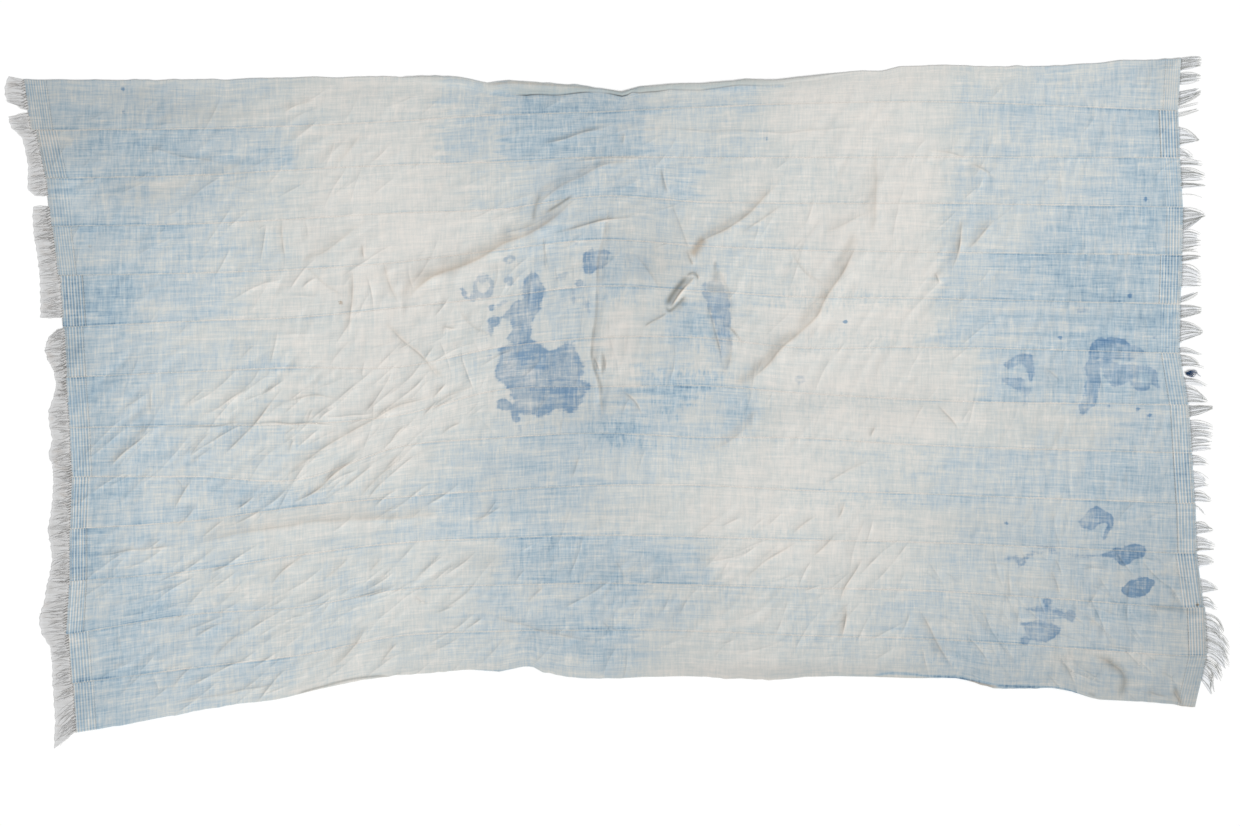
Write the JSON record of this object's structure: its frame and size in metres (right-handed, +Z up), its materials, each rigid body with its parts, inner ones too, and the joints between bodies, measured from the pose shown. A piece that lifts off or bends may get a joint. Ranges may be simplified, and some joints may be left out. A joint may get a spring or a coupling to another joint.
{
  "type": "hand-woven throw",
  "caption": "Large faded throw of narrow woven strips sewn side by side, fringed at both ends, laid out flat in soft creases.",
  "frame": {"origin": "bottom centre of the throw as it lies, on the surface that it rests on", "axes": "+X along the woven strips, +Y across them towards the rolled long edge, +Z up"},
  "size_m": [2.0423, 1.149, 0.0105],
  "materials": {
    "cloth": "matt plain weave, faded indigo on undyed cotton",
    "fringe": "loose matted warp threads"
  },
  "bodies": {
    "root": {"strip_01": "cloth", "strip_02": "cloth", "strip_03": "cloth", "strip_04": "cloth", "strip_05": "cloth", "strip_06": "cloth", "strip_07": "cloth", "strip_08": "cloth", "strip_09": "cloth", "strip_10": "cloth", "strip_11": "cloth", "strip_12": "cloth", "strip_13": "cloth", "fringe_left_01": "fringe", "fringe_left_02": "fringe", "fringe_left_03": "fringe", "fringe_left_04": "fringe", "fringe_left_05": "fringe", "fringe_left_06": "fringe", "fringe_left_07": "fringe", "fringe_left_08": "fringe", "fringe_left_09": "fringe", "fringe_left_10": "fringe", "fringe_left_11": "fringe", "fringe_left_12": "fringe", "fringe_left_13": "fringe", "fringe_right_01": "fringe", "fringe_right_02": "fringe", "fringe_right_03": "fringe", "fringe_right_04": "fringe", "fringe_right_05": "fringe", "fringe_right_06": "fringe", "fringe_right_07": "fringe", "fringe_right_08": "fringe", "fringe_right_09": "fringe", "fringe_right_10": "fringe", "fringe_right_11": "fringe", "fringe_right_12": "fringe", "fringe_right_13": "fringe"}
  },
  "joints": []
}
